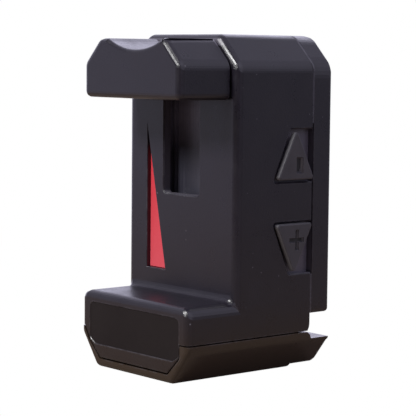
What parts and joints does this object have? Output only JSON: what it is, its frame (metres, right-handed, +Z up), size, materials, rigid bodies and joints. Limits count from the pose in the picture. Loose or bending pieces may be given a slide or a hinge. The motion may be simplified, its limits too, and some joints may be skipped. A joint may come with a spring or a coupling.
{
  "type": "stud finder",
  "caption": "Pocket C-shaped stud finder: a thumb-pressed jaw slides down a slot, with a red wedge indicator, dark sensor window, triangular keys and a sliding battery door.",
  "frame": {"origin": "on the flat base under the battery door, below the middle of the housing", "axes": "+Z up through the housing, -Y towards the jaws at the front, +Y out of the rear sensing face, +X towards the side with the keys"},
  "size_m": [0.0355, 0.0392, 0.0683],
  "materials": {
    "shell_plastic": "satin near-black moulded plastic",
    "key_rubber": "matte dark grey rubber",
    "window_dark": "dark infrared-passing plastic, matt face",
    "lens_red": "translucent red plastic",
    "light_guide": "milky clear plastic",
    "board_green": "solder mask over glass-fibre board",
    "chip_black": "moulded black epoxy",
    "led_white": "pale moulded package",
    "steel": "plated steel",
    "copper": "copper alloy",
    "grey_plastic": "dark grey moulded plastic",
    "plunger_white": "white moulded plastic",
    "ribbon_amber": "amber film"
  },
  "bodies": {
    "body": {"battery_tray": "grey_plastic", "board_screw_1": "steel", "board_screw_2": "steel", "buzzer": "chip_black", "coin_cell": "steel", "cover_screw_1": "steel", "cover_screw_2": "steel", "cover_screw_3": "steel", "cover_screw_4": "steel", "front_shell": "shell_plastic", "guide_rod": "steel", "indicator_led_1": "led_white", "indicator_led_2": "led_white", "indicator_led_3": "led_white", "indicator_led_4": "led_white", "indicator_led_5": "led_white", "infrared_emitter": "led_white", "infrared_receiver": "chip_black", "key_board": "board_green", "light_guide": "light_guide", "main_board": "board_green", "microcontroller": "chip_black", "minus_switch": "grey_plastic", "negative_contact": "copper", "plus_switch": "grey_plastic", "positive_contact": "copper", "rear_cover": "shell_plastic", "return_spring": "steel", "sense_board": "board_green", "sense_pad_left": "copper", "sense_pad_right": "copper", "sensor_board": "board_green", "sensor_ribbon": "ribbon_amber", "sensor_window": "window_dark", "signal_amplifier": "chip_black", "slide_channel": "shell_plastic", "stroke_switch": "grey_plastic", "wedge_lens": "lens_red"},
    "slider": {"upper_jaw": "shell_plastic", "slider_plate": "steel", "slider_screw_1": "steel", "slider_screw_2": "steel"},
    "minus_key_body": {"minus_key": "key_rubber", "minus_plunger": "plunger_white"},
    "plus_key_body": {"plus_key": "key_rubber", "plus_plunger": "plunger_white"},
    "door": {"battery_door": "shell_plastic"}
  },
  "joints": [
    {"name": "jaw_slide", "type": "slide", "parent": "body", "child": "slider", "axis": [0, 0, -1], "range_m": [0, 0.02], "stiffness_N_per_m": 150, "springref_m": -0.01, "deforming": ["return_spring"]},
    {"name": "minus_press", "type": "slide", "parent": "body", "child": "minus_key_body", "axis": [-1, 0, 0], "range_m": [0, 0.0006], "stiffness_N_per_m": 2000, "springref_m": -0.0003},
    {"name": "plus_press", "type": "slide", "parent": "body", "child": "plus_key_body", "axis": [-1, 0, 0], "range_m": [0, 0.0006], "stiffness_N_per_m": 2000, "springref_m": -0.0003},
    {"name": "door_slide", "type": "slide", "parent": "body", "child": "door", "axis": [0, 1, 0], "range_m": [0, 0.026]}
  ]
}
